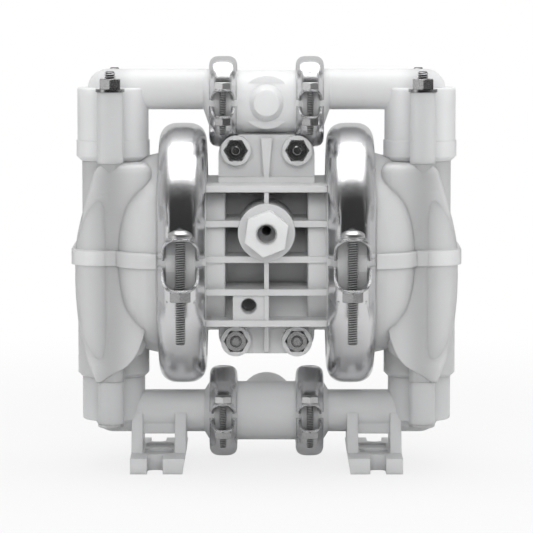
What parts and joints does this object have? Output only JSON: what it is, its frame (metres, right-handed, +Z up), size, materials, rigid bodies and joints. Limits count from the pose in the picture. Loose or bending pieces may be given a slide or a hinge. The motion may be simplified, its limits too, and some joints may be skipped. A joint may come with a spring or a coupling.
{
  "type": "air operated diaphragm pump",
  "caption": "Clamp-banded air operated double diaphragm pump in natural plastic, with ball valve columns, inlet and discharge manifolds and slotted feet.",
  "frame": {"origin": "on the floor under the middle of the pump, below the shaft axis", "axes": "+Z up, +X along the shaft to the right as seen from the front, +Y to the rear, where the air valve and the liquid ports are"},
  "size_m": [0.2148, 0.1656, 0.2276],
  "materials": {
    "polypropylene": "natural milky moulded plastic, satin",
    "clamp_steel": "polished stainless sheet",
    "fastener_steel": "plain stainless hardware",
    "rubber": "moulded rubber",
    "ball_plastic": "smooth white fluoroplastic",
    "shaft_steel": "ground bar"
  },
  "bodies": {
    "casing": {"centre_block": "polypropylene", "exhaust_bushing": "polypropylene", "liquid_chamber_left": "polypropylene", "liquid_chamber_right": "polypropylene", "discharge_elbow_left": "polypropylene", "discharge_elbow_right": "polypropylene", "discharge_tee": "polypropylene", "inlet_elbow_left": "polypropylene", "inlet_elbow_right": "polypropylene", "inlet_tee": "polypropylene", "large_clamp_left_upper_half": "clamp_steel", "large_clamp_left_lower_half": "clamp_steel", "large_clamp_right_upper_half": "clamp_steel", "large_clamp_right_lower_half": "clamp_steel", "discharge_clamp_upper_halves": "clamp_steel", "discharge_clamp_lower_halves": "clamp_steel", "inlet_clamp_upper_halves": "clamp_steel", "inlet_clamp_lower_halves": "clamp_steel", "large_clamp_bolts": "fastener_steel", "large_clamp_nuts": "fastener_steel", "discharge_clamp_bolts": "fastener_steel", "discharge_clamp_nuts": "fastener_steel", "inlet_clamp_bolts": "fastener_steel", "inlet_clamp_nuts": "fastener_steel", "tie_bolts": "fastener_steel", "tie_washers": "fastener_steel", "tie_nuts": "fastener_steel", "air_valve_bolts": "fastener_steel", "air_valve_nuts": "fastener_steel", "inlet_valve_seats": "polypropylene", "discharge_valve_seats": "polypropylene", "seat_o_rings": "rubber", "tee_o_rings": "rubber", "diaphragm_left": "rubber", "diaphragm_right": "rubber", "shaft_bushing": "ball_plastic", "shaft_seals": "rubber", "pilot_sleeve": "ball_plastic", "air_valve_gasket": "rubber", "air_valve_body": "polypropylene", "air_valve_caps": "polypropylene"},
    "shaft_assembly": {"shaft": "shaft_steel", "inner_piston_left": "shaft_steel", "inner_piston_right": "shaft_steel", "outer_piston_left": "polypropylene", "outer_piston_right": "polypropylene"},
    "inlet_ball_left": {"inlet_ball_left": "ball_plastic"},
    "inlet_ball_right": {"inlet_ball_right": "ball_plastic"},
    "discharge_ball_left": {"discharge_ball_left": "ball_plastic"},
    "discharge_ball_right": {"discharge_ball_right": "ball_plastic"},
    "air_valve_spool": {"air_valve_spool": "ball_plastic"},
    "pilot_spool": {"pilot_spool": "ball_plastic"}
  },
  "joints": [
    {"name": "shaft_stroke", "type": "slide", "parent": "casing", "child": "shaft_assembly", "axis": [1, 0, 0], "range_m": [-0.005, 0.005], "deforming": ["diaphragm_left", "diaphragm_right"]},
    {"name": "pilot_shift", "type": "slide", "parent": "casing", "child": "pilot_spool", "axis": [1, 0, 0], "range_m": [-0.0025, 0.0025]},
    {"name": "air_valve_shift", "type": "slide", "parent": "casing", "child": "air_valve_spool", "axis": [0, 0, 1], "range_m": [0, 0.008]},
    {"name": "inlet_ball_left_lift", "type": "slide", "parent": "casing", "child": "inlet_ball_left", "axis": [0, 0, 1], "range_m": [0, 0.0045]},
    {"name": "inlet_ball_right_lift", "type": "slide", "parent": "casing", "child": "inlet_ball_right", "axis": [0, 0, 1], "range_m": [0, 0.0045]},
    {"name": "discharge_ball_left_lift", "type": "slide", "parent": "casing", "child": "discharge_ball_left", "axis": [0, 0, 1], "range_m": [0, 0.0045]},
    {"name": "discharge_ball_right_lift", "type": "slide", "parent": "casing", "child": "discharge_ball_right", "axis": [0, 0, 1], "range_m": [0, 0.0045]}
  ],
  "couplings": [
    {"joint": "pilot_shift", "follows": "shaft_stroke", "ratio": 0.5}
  ]
}
